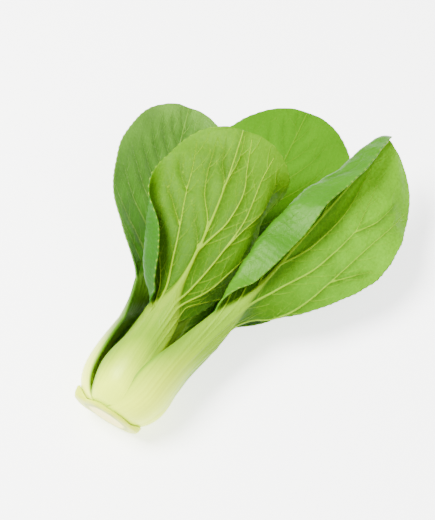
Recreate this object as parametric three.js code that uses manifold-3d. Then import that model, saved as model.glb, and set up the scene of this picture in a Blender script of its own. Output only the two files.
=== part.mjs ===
// Head of bok choy lying on its side: a cut stem base with ten leaves wound round it.
// Millimetres, +Z up, +Y from the cut face to the leaf tips.
import * as THREE from 'three';
import Module from 'manifold-3d';

const wasm = await Module();
wasm.setup();

// Driving dimensions, in mm unless a comment says otherwise
const axisRise = 7;           // degrees the head's axis climbs from its cut face to its tips
const cutFaceHeight = 19.5;   // middle of the cut face above the ground
const headShift = new THREE.Vector3(-7.2, -111.9, 0);   // centres the head over the origin
const bladeThickness = 0.7;   // leaf blade between its ribs
const stalkEdge = 1.3;        // a stalk along its two edges
const clearance = 0.3;        // air between one leaf and the next
const neckShare = 0.62;       // thickness of a stalk at its neck, as a share of that at its base
const ribOutward = 0.7;       // share of a midrib's thickness that stands out of the outer face
const foldBand = 0.3;         // share of a half blade that a fold bends over
const waveLength = 35;        // from one wave of a margin to the next
const wrapEnd = 45;           // how far up the stalks still bend round the head's axis
const rowSpacing = 9;         // between the rows of points along a leaf
const tipRows = 7;            // rows that round off the tip
const ribColumns = 2;         // columns of points from the middle of a rib to its edge

// Leaves from the outermost inwards, angles in degrees.
// turn: place round the axis, from the top towards +X; rise, root: start along and away from the axis;
// neck: where the stalk ends; width: half the blade; widest: where, as a share of the blade;
// base, tip: how full the blade's two ends are. Every list holds [mm along the leaf, value] pairs.
// stalk: half width; lean: outward tilt; sway: sideways bend; roll: twist; cup and fold: curl across
// each half, the fold centred at the share of the half width given by place; kept: share of the half
// width that this half has.
const leaves = [
  {
    name: 'leaf_right', turn: 58, rise: 2.6, root: 13.8, length: 212, neck: 74, width: 46,
    widest: 0.62, base: 1.35, tip: 3.2, stalkThickness: 5.5, wave: 0.9, columns: 10, colour: 0x87b038,
    stalk: [[0, 13.5], [24, 17.5], [50, 11.5], [74, 7.5]],
    lean: [[0, 66], [12, 28], [26, 3], [50, 8], [86, 10], [130, 10], [212, -2]],
    sway: [[0, 0], [50, 7], [80, 9], [120, 4], [165, 7], [212, 16]],
    roll: [[40, 0], [105, -42], [212, -38]],
    left: {
      cup: [[0, 58], [24, 50], [60, 35], [100, 14]],
      kept: [[74, 1], [90, 1.2], [112, 1.06], [132, 0.88], [150, 0.77], [185, 0.51], [212, 0.46]],
      fold: [[68, 0], [88, -135], [100, -172], [132, -172], [160, -150], [212, -140]],
      place: [[74, 0.72], [90, 0.58], [112, 0.5], [132, 0.48], [150, 0.47], [185, 0.37], [212, 0.38]],
    },
    right: {
      cup: [[0, 58], [24, 50], [60, 35], [82, 62], [108, 14], [155, 8], [185, 30], [212, 40]],
      kept: [[150, 1], [185, 0.92], [212, 0.9]],
    },
  },
  {
    name: 'leaf_left', turn: -84, rise: 2.6, root: 13.8, length: 185, neck: 72, width: 35.5,
    widest: 0.56, base: 1, tip: 2, stalkThickness: 5.2, wave: 1, columns: 6, colour: 0x76a152,
    stalk: [[0, 13], [24, 17], [50, 11.5], [72, 8.5]],
    lean: [[0, 64], [12, 26], [26, 0], [45, -7], [72, 2], [105, 21.5], [185, 18]],
    sway: [[0, 0], [60, -2], [90, -6], [185, -8]],
    roll: [[50, 0], [90, -60], [185, -75]],
    both: { cup: [[0, 56], [24, 48], [60, 35], [90, 15], [185, 13]] },
  },
  {
    name: 'leaf_under', turn: 160, rise: 2.6, root: 13.8, length: 226, neck: 84, width: 46.5,
    widest: 0.56, base: 1, tip: 2, stalkThickness: 5.5, wave: 0.8, columns: 6, colour: 0x83b625,
    stalk: [[0, 14], [24, 18], [50, 12], [84, 8.5]],
    lean: [[0, 66], [12, 28], [26, 0], [48, -2], [84, 4], [120, 10], [226, 9]],
    sway: [[0, 0], [60, 2], [100, 7], [226, 12]],
    roll: [[60, 0], [120, 19]],
    both: { cup: [[0, 58], [24, 50], [60, 35], [90, 10], [226, 8]] },
  },
  {
    name: 'leaf_top', turn: 6, rise: 3, root: 13.8, length: 165, neck: 60, width: 40,
    widest: 0.58, base: 1, tip: 2.2, stalkThickness: 5, wave: 0.8, columns: 9, colour: 0x9dbe55,
    stalk: [[0, 12], [22, 16], [42, 12], [60, 9.5]],
    lean: [[0, 62], [11, 24], [24, 0], [45, -10], [60, -5], [110, 14], [165, 26]],
    sway: [[50, 0], [100, -5], [165, -12]],
    left: {
      cup: [[0, 50], [24, 46], [60, 45], [90, 25], [165, 15]],
      kept: [[60, 1], [74, 1.4], [92, 1.28], [118, 1.04], [140, 1]],
      fold: [[54, 0], [68, -165], [100, -165], [122, -80], [140, 0]],
      place: [[0, 0.74], [74, 0.63], [92, 0.67], [118, 0.84], [140, 0.92]],
    },
    right: {
      cup: [[0, 50], [24, 46], [60, 40], [110, 20]],
      fold: [[56, 0], [78, 32], [105, 55], [124, 80], [152, 10], [165, 0]],
      place: [[0, 0.5], [165, 0.62]],
    },
  },
  {
    name: 'leaf_low_left', turn: -132, rise: 3, root: 13.8, length: 154, neck: 66, width: 25,
    widest: 0.56, base: 1, tip: 2, stalkThickness: 4.8, wave: 0.7, columns: 5, colour: 0x7da149,
    stalk: [[0, 12], [22, 15.5], [45, 11], [66, 8]],
    lean: [[0, 62], [11, 24], [24, 0], [45, -4], [80, 10], [154, 13]],
    sway: [[60, 0], [90, -2]],
    roll: [[60, 0], [100, -40]],
    both: { cup: [[0, 56], [24, 54], [60, 40], [90, 15], [154, 12]] },
  },
  {
    name: 'leaf_low_right', turn: 104, rise: 2.8, root: 13.8, length: 166, neck: 66, width: 27,
    widest: 0.56, base: 1, tip: 2, stalkThickness: 4.8, wave: 0.8, columns: 6, colour: 0x6f9e4c,
    stalk: [[0, 12], [22, 16.5], [45, 11], [66, 8.5]],
    lean: [[0, 66], [12, 28], [25, 0], [45, -5], [70, 10], [110, 14], [166, 10]],
    sway: [[0, 0], [48, 2], [80, 14], [166, 11]],
    roll: [[50, 0], [95, 66], [166, 68]],
    left: { cup: [[0, 62], [24, 62], [60, 40], [90, 15]] },
    right: { cup: [[0, 56], [24, 56], [60, 40], [90, 15]] },
  },
  {
    name: 'inner_leaf_left', turn: -30, rise: 9.5, root: 8.5, length: 120, neck: 56, width: 19,
    widest: 0.56, base: 1, tip: 2, stalkThickness: 3.4, wave: 0.6, columns: 4, colour: 0x9bc04e,
    stalk: [[0, 7], [20, 9.5], [40, 7], [56, 6]],
    lean: [[0, 50], [10, 20], [20, 4], [45, -4], [80, -2], [120, 2]],
    sway: [[0, 0], [60, 1], [120, -2]],
    both: { cup: [[0, 50], [24, 44], [120, 50]] },
  },
  {
    name: 'inner_leaf_under', turn: 172, rise: 9.5, root: 8.5, length: 108, neck: 54, width: 14.5,
    widest: 0.56, base: 1, tip: 2, stalkThickness: 3.4, wave: 0.6, columns: 4, colour: 0x9bc04e,
    stalk: [[0, 7], [20, 10], [40, 8], [54, 6.5]],
    lean: [[0, 50], [10, 20], [20, 4], [45, 0], [80, 0], [108, 2]],
    sway: [[30, 0], [60, 6], [108, 4]],
    both: { cup: [[0, 50], [24, 40], [108, 30]] },
  },
  {
    name: 'inner_leaf_right', turn: 45, rise: 9.5, root: 8.5, length: 92, neck: 50, width: 15,
    widest: 0.56, base: 1, tip: 2, stalkThickness: 3, wave: 0.5, columns: 4, colour: 0xa6c95a,
    stalk: [[0, 6], [20, 8], [50, 6]],
    lean: [[0, 50], [10, 20], [20, 0], [45, -6], [92, -8]],
    sway: [[0, 0], [30, 2], [50, 8], [92, 8]],
    both: { cup: [[0, 50], [24, 44], [92, 60]] },
  },
  {
    name: 'heart_leaf', turn: -92, rise: 12, root: 3.2, length: 72, neck: 44, width: 10,
    widest: 0.56, base: 1, tip: 2, stalkThickness: 2.4, wave: 0.3, columns: 4, colour: 0xc3da7c,
    stalk: [[0, 4], [20, 6], [44, 5]],
    lean: [[0, 20], [12, 4], [72, 0]],
    both: { cup: [[0, 50], [72, 50]] },
  },
];
const level = [[0, 0], [1, 0]];   // for a leaf with no sway, roll or fold

const radians = (degrees) => (degrees * Math.PI) / 180;
const clamp01 = (v) => Math.min(Math.max(v, 0), 1);
const ease = (v) => clamp01(v) ** 2 * (3 - 2 * clamp01(v));
const mix = (a, b, t) => a.clone().multiplyScalar(1 - t).addScaledVector(b, t);

// Smooth curve through [place, value] pairs, level beyond both ends
function along(keys, place) {
  const last = keys.length - 1;
  const s = Math.min(Math.max(place, keys[0][0]), keys[last][0]);
  const secant = (i) => (keys[i + 1][1] - keys[i][1]) / (keys[i + 1][0] - keys[i][0]);
  const slope = (i) => {
    if (i === 0) return secant(0);
    if (i === last) return secant(last - 1);
    const [a, b] = [secant(i - 1), secant(i)];
    return a * b > 0 ? (2 * a * b) / (a + b) : 0;
  };
  let i = 0;
  while (i < last - 1 && s >= keys[i + 1][0]) i += 1;
  const h = keys[i + 1][0] - keys[i][0];
  const t = (s - keys[i][0]) / h;
  return (2 * t ** 3 - 3 * t ** 2 + 1) * keys[i][1] + (t ** 3 - 2 * t ** 2 + t) * h * slope(i)
    + (3 * t ** 2 - 2 * t ** 3) * keys[i + 1][1] + (t ** 3 - t ** 2) * h * slope(i + 1);
}

const axis = new THREE.Vector3(0, Math.cos(radians(axisRise)), Math.sin(radians(axisRise)));
const up = new THREE.Vector3(0, -axis.z, axis.y);
const right = new THREE.Vector3(1, 0, 0);
const cutFace = new THREE.Vector3(0, 0, cutFaceHeight).add(headShift);

// Direction away from the axis at a turn in degrees
function outward(turn) {
  return up.clone().multiplyScalar(Math.cos(radians(turn))).addScaledVector(right, Math.sin(radians(turn)));
}

// Middle line of a leaf as frames one millimetre apart
function spine(leaf) {
  const out = outward(leaf.turn);
  const side = outward(leaf.turn + 90);
  const frameAt = (s) => {
    const [lean, sway, roll] = [leaf.lean, leaf.sway ?? level, leaf.roll ?? level]
      .map((keys) => radians(along(keys, s)));
    const ahead = axis.clone().multiplyScalar(Math.cos(lean) * Math.cos(sway))
      .addScaledVector(out, Math.sin(lean) * Math.cos(sway)).addScaledVector(side, Math.sin(sway));
    const flatNormal = out.clone().multiplyScalar(Math.cos(lean)).addScaledVector(axis, -Math.sin(lean));
    const flatAcross = ahead.clone().cross(flatNormal).normalize();
    const rolled = flatNormal.clone().multiplyScalar(Math.cos(roll))
      .addScaledVector(flatAcross, Math.sin(roll));
    const across = flatAcross.multiplyScalar(Math.cos(roll)).addScaledVector(flatNormal, -Math.sin(roll));
    const ownShare = ease((s - 20) / (wrapEnd - 20));
    return { ahead, across, normal: mix(out, rolled, ownShare).normalize() };
  };
  const frames = [];
  const at = cutFace.clone().addScaledVector(axis, leaf.rise).addScaledVector(out, leaf.root);
  for (let s = 0; s <= leaf.length; s += 1) {
    frames.push({ at: at.clone(), ...frameAt(s) });
    at.add(frameAt(s + 0.5).ahead);
  }
  return frames;
}

function frameBetween(frames, s) {
  const i = Math.max(Math.min(Math.floor(s), frames.length - 2), 0);
  const [a, b] = [frames[i], frames[i + 1]];
  return {
    at: mix(a.at, b.at, s - i),
    normal: mix(a.normal, b.normal, s - i).normalize(),
    across: mix(a.across, b.across, s - i).normalize(),
  };
}

// How far into the blade a place is, from 0 at the neck to 1 at the tip
const bladeShare = (leaf, s) => clamp01((s - leaf.neck) / (leaf.length - leaf.neck));

const neckWidth = (leaf) => leaf.stalk[leaf.stalk.length - 1][1];

// Half the leaf's flat width: the stalk's, then an oval blade
function halfWidth(leaf, s) {
  const share = bladeShare(leaf, s);
  const neck = neckWidth(leaf);
  if (share === 0) return along(leaf.stalk, s);
  if (share < leaf.widest) {
    return neck + (leaf.width - neck) * (1 - (1 - share / leaf.widest) ** 2) ** leaf.base;
  }
  return leaf.width * Math.sqrt(1 - ((share - leaf.widest) / (1 - leaf.widest)) ** leaf.tip);
}

// Half width of the thick rib: all of the stalk, then narrowing to 1 mm at the tip
function ribWidth(leaf, s) {
  const share = bladeShare(leaf, s);
  return share > 0 ? 1 + (neckWidth(leaf) - 1) * (1 - share) ** 2.2 : halfWidth(leaf, s);
}

// What the stalk or midrib adds to the leaf's thickness along its middle
function ribThickness(leaf, s) {
  const share = bladeShare(leaf, s);
  return leaf.stalkThickness
    * (share > 0 ? neckShare * (1 - share) ** 1.8 : 1 - (1 - neckShare) * ease(s / leaf.neck));
}

// Curve of one half of the leaf's cross-section: [sideways, inwards] for a share of the half width
function halfSection(half, s, width) {
  const steps = 40;
  const cup = radians(along(half.cup, s));
  const fold = radians(along(half.fold ?? level, s));
  const place = along(half.place ?? level, s);
  const points = [[0, 0]];
  for (let k = 0; k < steps; k += 1) {
    const share = (k + 0.5) / steps;
    const angle = cup * share + fold * ease((share - place) / foldBand + 0.5);
    const [x, y] = points[k];
    points.push([x + (Math.cos(angle) * width) / steps, y + (Math.sin(angle) * width) / steps]);
  }
  return (share) => {
    const k = Math.min(Math.floor(share * steps), steps - 1);
    const t = share * steps - k;
    return [0, 1].map((c) => points[k][c] * (1 - t) + points[k + 1][c] * t);
  };
}

// Rows along a leaf, close together where the base curves and at the rounded tip
function rowPlaces(leaf) {
  const widestAt = leaf.neck + leaf.widest * (leaf.length - leaf.neck);
  const rows = [0, 3, 6.5, 10.5, 15, 20, 26];
  const start = rows[rows.length - 1];
  const middle = Math.round((widestAt - start) / rowSpacing);
  for (let i = 1; i <= middle; i += 1) rows.push(start + ((widestAt - start) * i) / middle);
  for (let i = 1; i <= tipRows; i += 1) {
    rows.push(widestAt + (leaf.length - widestAt) * Math.sin((i / tipRows) * (Math.PI / 2)));
  }
  return rows;
}

// Outer and inner face of a leaf as grids of points, the whole leaf made bigger all round by `grow`
function leafFaces(leaf, grow) {
  const frames = spine(leaf);
  const rows = rowPlaces(leaf);
  const last = rows.length - 1;
  const middle = rows.map((s, i) => {
    const beyond = i === last ? grow : 0;
    const frame = frameBetween(frames, i === 0 ? -grow : s + beyond);
    const width = halfWidth(leaf, s) + grow;
    const rib = width > 0 ? Math.min(ribWidth(leaf, s) / width, 0.3) : 0.3;
    const wave = leaf.wave * ease((s - leaf.neck) / 30) * (width / leaf.width);
    const halves = [leaf.left ?? leaf.both, leaf.right ?? leaf.both]
      .map((half) => halfSection(half, s, width * (half.kept ? along(half.kept, s) : 1)));
    const row = [];
    for (let j = -leaf.columns; j <= leaf.columns; j += 1) {
      const k = Math.abs(j);
      const sign = Math.sign(j);
      const share = k <= ribColumns ? (rib * k) / ribColumns
        : rib + ((1 - rib) * (k - ribColumns)) / (leaf.columns - ribColumns);
      const [x, y] = halves[j < 0 ? 0 : 1](share);
      const ripple = wave * share ** 2
        * Math.sin((2 * Math.PI * s) / waveLength + sign + radians(leaf.turn));
      const at = frame.at.clone().addScaledVector(frame.across, sign * x)
        .addScaledVector(frame.normal, ripple - y);
      row.push({ s, at, fromMiddle: share * width });
    }
    return row;
  });
  // the tip has no width, so all of it takes the normal of the rib in the row before it
  const normalAt = (row, column) => {
    const i = Math.min(row, last - 1);
    const j = row === last ? leaf.columns : column;
    const across = middle[i][Math.min(j + 1, middle[i].length - 1)].at.clone()
      .sub(middle[i][Math.max(j - 1, 0)].at);
    const ahead = middle[Math.min(i + 1, last - 1)][j].at.clone().sub(middle[Math.max(i - 1, 0)][j].at);
    return across.cross(ahead).normalize();
  };
  const outer = [];
  const inner = [];
  middle.forEach((row, i) => {
    outer.push([]);
    inner.push([]);
    row.forEach(({ s, at, fromMiddle }, j) => {
      const normal = normalAt(i, j);
      const rib = Math.max(1 - (fromMiddle / ribWidth(leaf, s)) ** 2, 0) ** 0.8 * ribThickness(leaf, s);
      const inBlade = ease((s - leaf.neck + 12) / 30);
      const sheet = stalkEdge + (bladeThickness - stalkEdge) * inBlade;
      const front = at.clone().addScaledVector(normal, ribOutward * inBlade * rib + grow);
      const back = front.clone().addScaledVector(normal, -(sheet + rib + 2 * grow));
      const lift = Math.max(-Math.min(front.z, back.z), 0);   // the ground presses the leaf flat
      front.z += lift;
      back.z += lift;
      outer[i].push(front);
      inner[i].push(back);
    });
  });
  return { outer, inner };
}

// Closed body from faces given as triples of points, shared points merged and empty faces dropped
function solid(triples) {
  const index = new Map();
  const points = [];
  const corner = (p) => {
    const key = [p.x, p.y, p.z].map((v) => Math.round(v * 1e4)).join();
    if (!index.has(key)) {
      index.set(key, points.length / 3);
      points.push(p.x, p.y, p.z);
    }
    return index.get(key);
  };
  const triVerts = [];
  triples.forEach((triple) => {
    const [a, b, c] = triple.map(corner);
    if (a !== b && b !== c && c !== a) triVerts.push(a, b, c);
  });
  return new wasm.Manifold(new wasm.Mesh({
    numProp: 3, vertProperties: new Float32Array(points), triVerts: new Uint32Array(triVerts),
  }));
}

function leafBody(leaf, grow = 0) {
  const { outer, inner } = leafFaces(leaf, grow);
  const triples = [];
  const quad = (a, b, c, d) => triples.push([a, b, c], [a, c, d]);
  const last = outer.length - 1;
  const edge = outer[0].length - 1;
  for (let i = 0; i < last; i += 1) {
    for (let j = 0; j < edge; j += 1) {
      // both faces are split along the outer face's shorter diagonal
      const corners = [[i, j], [i, j + 1], [i + 1, j + 1], [i + 1, j]];
      const [a, b, c, d] = corners.map(([row, column]) => outer[row][column]);
      const split = a.distanceTo(c) <= b.distanceTo(d) ? [[0, 1, 2], [0, 2, 3]] : [[0, 1, 3], [1, 2, 3]];
      split.forEach((triple) => {
        const [p, q, r] = triple.map((k) => corners[k]);
        triples.push([p, q, r].map(([row, column]) => outer[row][column]));
        triples.push([p, r, q].map(([row, column]) => inner[row][column]));
      });
    }
    quad(outer[i][0], outer[i + 1][0], inner[i + 1][0], inner[i][0]);
    quad(outer[i][edge], inner[i][edge], inner[i + 1][edge], outer[i + 1][edge]);
  }
  for (let j = 0; j < edge; j += 1) {
    quad(outer[0][j], inner[0][j], inner[0][j + 1], outer[0][j + 1]);
    quad(outer[last][j], outer[last][j + 1], inner[last][j + 1], inner[last][j]);
  }
  return solid(triples);
}

// Stem base: the cut face, a ring, the stubs of trimmed outer leaves and a domed top inside the leaves.
// Each place of the profile is [away from the axis, along it] between the stubs, then on a full stub.
const stemProfile = [
  [[0, 0], [0, 0]], [[9, 0], [9, 0]], [[12.8, 0.1], [12.8, 0.1]], [[14, 0.3], [18, 0.3]],
  [[14.6, 0.8], [20.6, 0.8]], [[14.9, 1.3], [21.8, 3]], [[14.9, 1.7], [22.3, 7.2]],
  [[14.8, 2], [21.2, 7.6]], [[14.5, 2.1], [19.5, 5.2]], [[14.2, 2.2], [16.8, 3.2]],
  [[13.4, 2.2], [13.4, 2.2]], [[13.3, 5.5], [13.3, 5.5]], [[13, 8.6], [13, 8.6]],
  [[11, 10.4], [11, 10.4]], [[6, 11.4], [6, 11.4]], [[0, 11.6], [0, 11.6]],
];
const firstUpperPlace = 7;    // from here on the profile faces the leaf tips
const stemSides = 48;
const stubs = [               // turn and spread in degrees round the axis, reach as a share
  { turn: -98, spread: 52, reach: 1 },
  { turn: 126, spread: 56, reach: 0.55 },
  { turn: 190, spread: 45, reach: 0.4 },
];

function stubShare(turn) {
  return Math.max(...stubs.map((stub) => {
    const away = Math.abs(((turn - stub.turn + 540) % 360) - 180);
    return stub.reach * ease(1.6 * (1 - away / stub.spread));
  }));
}

function stemBody(grow = 0) {
  const rings = stemProfile.map(([plain, stub], i) => {
    const ring = [];
    for (let k = 0; k < stemSides; k += 1) {
      const turn = (360 * k) / stemSides;
      const [radius, rise] = [0, 1].map((c) => plain[c] + (stub[c] - plain[c]) * stubShare(turn));
      ring.push(cutFace.clone().addScaledVector(axis, rise + (i < firstUpperPlace ? -grow : grow))
        .addScaledVector(outward(turn), radius > 0 ? radius + grow : 0));
    }
    return ring;
  });
  const triples = [];
  for (let i = 0; i + 1 < rings.length; i += 1) {
    for (let k = 0; k < stemSides; k += 1) {
      const next = (k + 1) % stemSides;
      triples.push([rings[i][k], rings[i + 1][next], rings[i + 1][k]],
        [rings[i][k], rings[i][next], rings[i + 1][next]]);
    }
  }
  return solid(triples);
}

// The largest piece that is left of a body when its neighbours' bodies are cut away
function cutBack(body, neighbours) {
  const pieces = body.subtract(wasm.Manifold.union(neighbours)).decompose();
  return pieces.reduce((a, b) => (a.volume() >= b.volume() ? a : b));
}

function mesh(name, body, look) {
  const { vertProperties, triVerts } = body.getMesh();
  const geometry = new THREE.BufferGeometry();
  geometry.setAttribute('position', new THREE.BufferAttribute(vertProperties, 3));
  geometry.setIndex(new THREE.BufferAttribute(triVerts, 1));
  geometry.computeVertexNormals();
  const object = new THREE.Mesh(geometry, new THREE.MeshStandardMaterial(look));
  object.name = name;
  return object;
}

const head = new THREE.Group();
head.name = 'bok_choy';
head.add(mesh('stem_base', stemBody(), { color: 0xefe9c0, roughness: 0.6, metalness: 0 }));
const placed = [stemBody(clearance)];
leaves.forEach((leaf) => {
  const body = cutBack(leafBody(leaf), placed);
  head.add(mesh(leaf.name, body, { color: leaf.colour, roughness: 0.5, metalness: 0 }));
  placed.push(leafBody(leaf, clearance));
});

export default head;
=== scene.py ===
import math

import bpy
import numpy as np
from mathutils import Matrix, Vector


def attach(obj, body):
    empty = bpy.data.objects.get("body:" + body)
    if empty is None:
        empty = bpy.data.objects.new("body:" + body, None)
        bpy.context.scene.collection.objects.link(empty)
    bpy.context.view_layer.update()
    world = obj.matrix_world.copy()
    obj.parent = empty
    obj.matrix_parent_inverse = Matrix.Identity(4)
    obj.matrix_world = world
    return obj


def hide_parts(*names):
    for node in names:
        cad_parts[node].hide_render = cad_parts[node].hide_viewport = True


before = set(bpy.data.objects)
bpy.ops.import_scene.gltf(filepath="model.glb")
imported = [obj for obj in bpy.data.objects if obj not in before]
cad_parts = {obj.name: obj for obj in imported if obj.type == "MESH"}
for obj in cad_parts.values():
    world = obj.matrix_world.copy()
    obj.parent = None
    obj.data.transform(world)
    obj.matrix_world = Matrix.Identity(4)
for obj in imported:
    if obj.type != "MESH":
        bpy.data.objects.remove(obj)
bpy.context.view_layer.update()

# Stem base: the short solid stem that every stalk grows from. It is sliced across with a knife,
# which leaves a moist white face with a ring of bundles, and the stubs of trimmed outer leaves.

# the head's axis runs from the cut to the leaf tips and rises by 7 degrees
axis = np.array([0.0, math.cos(math.radians(7)), math.sin(math.radians(7))])
up = np.array([0.0, -axis[2], axis[1]])
right = np.array([1.0, 0.0, 0.0])
cut_face = np.array([-7.2, -111.9, 19.5])   # its middle, in mm, as all shapes here are


def outward(turn):
    """Direction away from the head's axis, at a turn in degrees from the top."""
    return up * math.cos(math.radians(turn)) + right * math.sin(math.radians(turn))


def ease(v):
    """Smooth step from 0 to 1."""
    v = np.clip(v, 0.0, 1.0)
    return v * v * (3 - 2 * v)


def wobble(a, b, seed):
    """Slow, uneven waves between -1 and 1 over two coordinates in mm."""
    rng = np.random.default_rng(seed)
    total = 0.0
    for wave in (31.0, 19.0, 12.0):
        tilt, shift = rng.uniform(0, math.pi), rng.uniform(0, 2 * math.pi)
        total = total + np.sin(2 * math.pi * (a * math.cos(tilt) + b * math.sin(tilt)) / wave + shift)
    return total / 3


def add_mesh(name, points, faces):
    """Makes a smooth mesh piece from points in mm."""
    mesh = bpy.data.meshes.new(name)
    mesh.from_pydata((points * 0.001).tolist(), [], faces)
    mesh.shade_smooth()
    piece = bpy.data.objects.new(name, mesh)
    bpy.context.scene.collection.objects.link(piece)
    return piece


def mark(piece, name, values):
    """Stores three numbers at each vertex for a material to read."""
    layer = piece.data.attributes.new(name, "FLOAT_VECTOR", "POINT")
    layer.data.foreach_set("vector", np.ascontiguousarray(values, dtype=np.float32).ravel())


def hexa(code):
    """Linear colour of an sRGB hex value."""
    parts = [int(code[i : i + 2], 16) / 255 for i in (1, 3, 5)]
    return tuple(c / 12.92 if c <= 0.04045 else ((c + 0.055) / 1.055) ** 2.4 for c in parts) + (1.0,)


def add_node(material, kind, inputs={}, stops=(), **settings):
    """Adds a shader node. Each input, by name or number, takes a value or another node's socket, and
    stops fill a colour ramp."""
    node = material.node_tree.nodes.new("ShaderNode" + kind)
    for key, value in settings.items():
        setattr(node, key, value)
    for key, value in inputs.items():
        if isinstance(value, bpy.types.NodeSocket):
            material.node_tree.links.new(value, node.inputs[key])
        else:
            node.inputs[key].default_value = value
    for i, (place, value) in enumerate(stops):
        ramp = node.color_ramp.elements
        stop = ramp[i] if i < len(ramp) else ramp.new(place)
        stop.position = place
        stop.color = hexa(value) if isinstance(value, str) else (value, value, value, 1.0)
    return node


def new_material(name):
    material = bpy.data.materials.new(name)
    material.use_nodes = True
    material.node_tree.nodes.clear()
    return material


stem_profile = [   # [away from the axis, along it] between the stubs, then on a full stub
    [[0, 0.5], [0, 0.5]], [[3, 0.45], [3, 0.45]], [[6, 0.3], [6, 0.3]], [[9, 0.15], [9, 0.15]],
    [[11, 0.2], [11, 0.2]], [[12.6, 0.35], [12.6, 0.3]], [[13.6, 0.6], [16, 0.45]],
    [[14.2, 0.9], [19, 0.7]], [[14.6, 1.2], [20.9, 1.5]], [[14.9, 1.5], [21.8, 3.4]],
    [[14.9, 1.8], [22.2, 6.6]], [[14.8, 2], [21.2, 7.4]], [[14.5, 2.1], [19.5, 5.2]],
    [[14.2, 2.2], [16.8, 3.2]], [[13.4, 2.2], [13.4, 2.2]], [[13.3, 5.5], [13.3, 5.5]],
    [[13, 8.6], [13, 8.6]], [[11, 10.4], [11, 10.4]], [[6, 11.4], [6, 11.4]], [[0, 11.6], [0, 11.6]],
]
stem_sides = 192
stem_turns = np.arange(stem_sides) * 360 / stem_sides
stub_share = np.zeros(stem_sides)
# three stubs: each one's turn, half its spread in degrees and how far it reaches
for stub_turn, spread, reach in ((-98, 52, 1), (126, 56, 0.55), (190, 45, 0.4)):
    away = abs((stem_turns - stub_turn + 540) % 360 - 180)
    stub_share = np.maximum(stub_share, reach * ease(1.6 * (1 - away / spread)))

stem_points = []
for i, (plain, stub) in enumerate(stem_profile[1:-1]):
    for turn, share in zip(stem_turns, stub_share):
        radius = plain[0] + (stub[0] - plain[0]) * share
        rise = plain[1] + (stub[1] - plain[1]) * share
        out = outward(turn)
        if 4 < i < 12:   # the trimmed edge is torn a little
            radius -= 0.5 * share * (1 + float(wobble(turn * 0.35, 0.0, 3)))
        stem_points.append(cut_face + axis * rise + out * radius)
stem_points = [cut_face + axis * stem_profile[0][0][1]] + stem_points
stem_points.append(cut_face + axis * stem_profile[-1][0][1])
stem_faces = []
ring_count = len(stem_profile) - 2
for k in range(stem_sides):
    after = (k + 1) % stem_sides
    stem_faces.append([0, 1 + k, 1 + after])
    for i in range(ring_count - 1):
        a, b = 1 + stem_sides * i, 1 + stem_sides * (i + 1)
        stem_faces.append([a + k, b + k, b + after, a + after])
    top = 1 + stem_sides * (ring_count - 1)
    stem_faces.append([top + k, len(stem_points) - 1, top + after])
stem = add_mesh("stem_cut", np.array(stem_points), stem_faces)

# Cut stem flesh, sliced: moist and creamy white in the middle, then a greener ring of bundles and a
# pale rind, browned in small spots where it dries. The material reads the distance from the axis and
# the depth under the cut, with a grain of 1 mm and stains of 6 mm.
cut_place = np.array(stem_points) - cut_face
mark(stem, "cut", np.stack([np.linalg.norm(np.cross(cut_place, axis), axis=1),
                            cut_place @ axis, np.zeros(len(cut_place))], 1))
stem_flesh = new_material("cut_stem_flesh")
cut = add_node(stem_flesh, "SeparateXYZ", {0: add_node(
    stem_flesh, "Attribute", attribute_name="cut").outputs["Vector"]})
place = add_node(stem_flesh, "TexCoord").outputs["Object"]
grain = add_node(stem_flesh, "TexNoise", {"Vector": place, "Scale": 900, "Detail": 4}).outputs["Fac"]
stain = add_node(stem_flesh, "TexNoise", {"Vector": place, "Scale": 160, "Detail": 3}).outputs["Fac"]
uneven = add_node(stem_flesh, "Math", {0: stain, 1: 4.0, 2: cut.outputs["X"]}, operation="MULTIPLY_ADD")
radius = add_node(stem_flesh, "MapRange", {0: uneven.outputs[0], 1: 2.0, 2: 18.0, 3: 0.0, 4: 1.0})
flesh = add_node(stem_flesh, "ValToRGB", {0: radius.outputs[0]}, stops=(
    (0.0, "#fff080"), (0.6, "#fff474"), (0.67, "#b8c004"), (0.75, "#98a800"), (0.84, "#c4d008"),
    (1.0, "#ccd80c"))).outputs[0]
rind = add_node(stem_flesh, "MapRange", {0: cut.outputs["Y"], 1: 0.9, 2: 2.4, 3: 0.0, 4: 1.0}).outputs[0]
flesh = add_node(stem_flesh, "Mix", {0: rind, 6: flesh, 7: hexa("#ccdc10")}, data_type="RGBA").outputs[2]
scar = add_node(stem_flesh, "MapRange", {0: stain, 1: 0.72, 2: 0.78, 3: 0.0, 4: 0.7}).outputs[0]
flesh = add_node(stem_flesh, "Mix", {0: scar, 6: flesh, 7: hexa("#a08038")}, data_type="RGBA").outputs[2]
relief = add_node(stem_flesh, "Bump", {"Height": grain, "Distance": 0.0002, "Strength": 0.5})
skin = add_node(stem_flesh, "BsdfPrincipled",
                {"Base Color": flesh, "Roughness": 0.4, "Specular IOR Level": 0.25,
                 "Specular Tint": (0.8, 1.0, 0.5, 1.0), "Normal": relief.outputs[0]})
add_node(stem_flesh, "OutputMaterial", {"Surface": skin.outputs[0]})
stem.data.materials.append(stem_flesh)
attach(stem, "root")
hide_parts("stem_base")

# Right outer leaf: one leaf grown in one piece, a thick pale stalk that spoons round the stem and
# thins into a ribbed green blade. Half of its blade has folded back over the outer face.


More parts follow.
